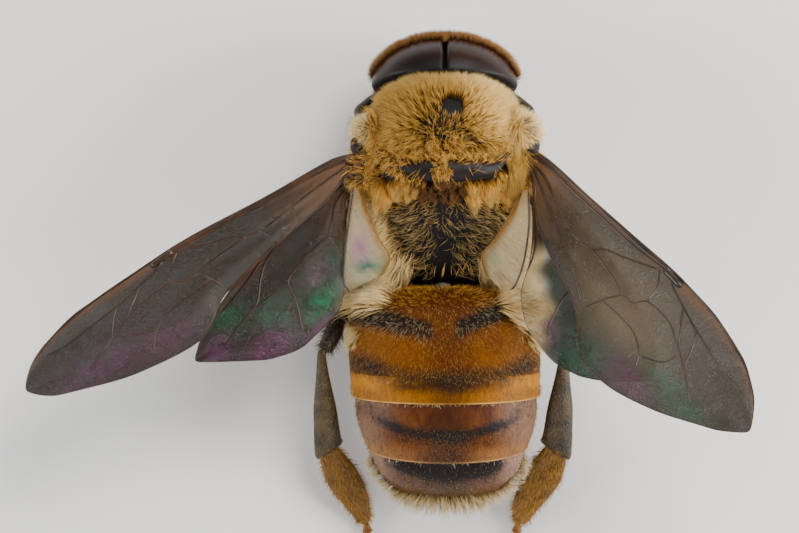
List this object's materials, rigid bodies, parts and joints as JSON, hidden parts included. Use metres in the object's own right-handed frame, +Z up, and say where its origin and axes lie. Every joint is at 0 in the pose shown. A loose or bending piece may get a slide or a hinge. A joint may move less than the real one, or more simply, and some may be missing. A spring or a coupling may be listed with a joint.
{
  "type": "honey bee drone",
  "caption": "Life-size still model of a male honey bee standing with its wings spread: furry thorax, banded abdomen, large eyes meeting on top.",
  "frame": {"origin": "middle of the base of the whole bee's bounding box, on the floor that the six feet stand on", "axes": "+Z up, -Y the way the bee faces, +X to the bee's left"},
  "size_m": [0.0228, 0.017, 0.0107],
  "materials": {
    "gold_fur": "dense soft fur",
    "cream_fur": "soft pale fur",
    "black_cuticle": "satin to glossy",
    "amber_cuticle": "satin, with short hairs",
    "grey_cuticle": "satin, with short hairs",
    "eye": "glossy, finely faceted",
    "dark_leg": "satin, hairy",
    "gold_foot": "satin, hairy",
    "wing_membrane": "thin smoky membrane with brown veins"
  },
  "bodies": {
    "root": {"abdomen_1": "cream_fur", "abdomen_2": "amber_cuticle", "abdomen_3": "grey_cuticle", "abdomen_4": "amber_cuticle", "abdomen_5": "grey_cuticle", "abdomen_tip": "cream_fur", "antenna_left": "dark_leg", "antenna_right": "dark_leg", "eye_left": "eye", "eye_right": "eye", "forewing_left": "wing_membrane", "forewing_right": "wing_membrane", "front_femur_left": "dark_leg", "front_femur_right": "dark_leg", "front_foot_left": "gold_foot", "front_foot_right": "gold_foot", "front_tibia_left": "dark_leg", "front_tibia_right": "dark_leg", "head": "black_cuticle", "hind_femur_left": "dark_leg", "hind_femur_right": "dark_leg", "hind_foot_left": "gold_foot", "hind_foot_right": "gold_foot", "hind_tibia_left": "dark_leg", "hind_tibia_right": "dark_leg", "hindwing_left": "wing_membrane", "hindwing_right": "wing_membrane", "mandible_left": "dark_leg", "mandible_right": "dark_leg", "mid_femur_left": "dark_leg", "mid_femur_right": "dark_leg", "mid_foot_left": "gold_foot", "mid_foot_right": "gold_foot", "mid_tibia_left": "dark_leg", "mid_tibia_right": "dark_leg", "neck": "black_cuticle", "proboscis": "dark_leg", "scutellum": "black_cuticle", "tegula_left": "black_cuticle", "tegula_right": "black_cuticle", "thorax": "gold_fur", "waist": "black_cuticle"}
  },
  "joints": []
}
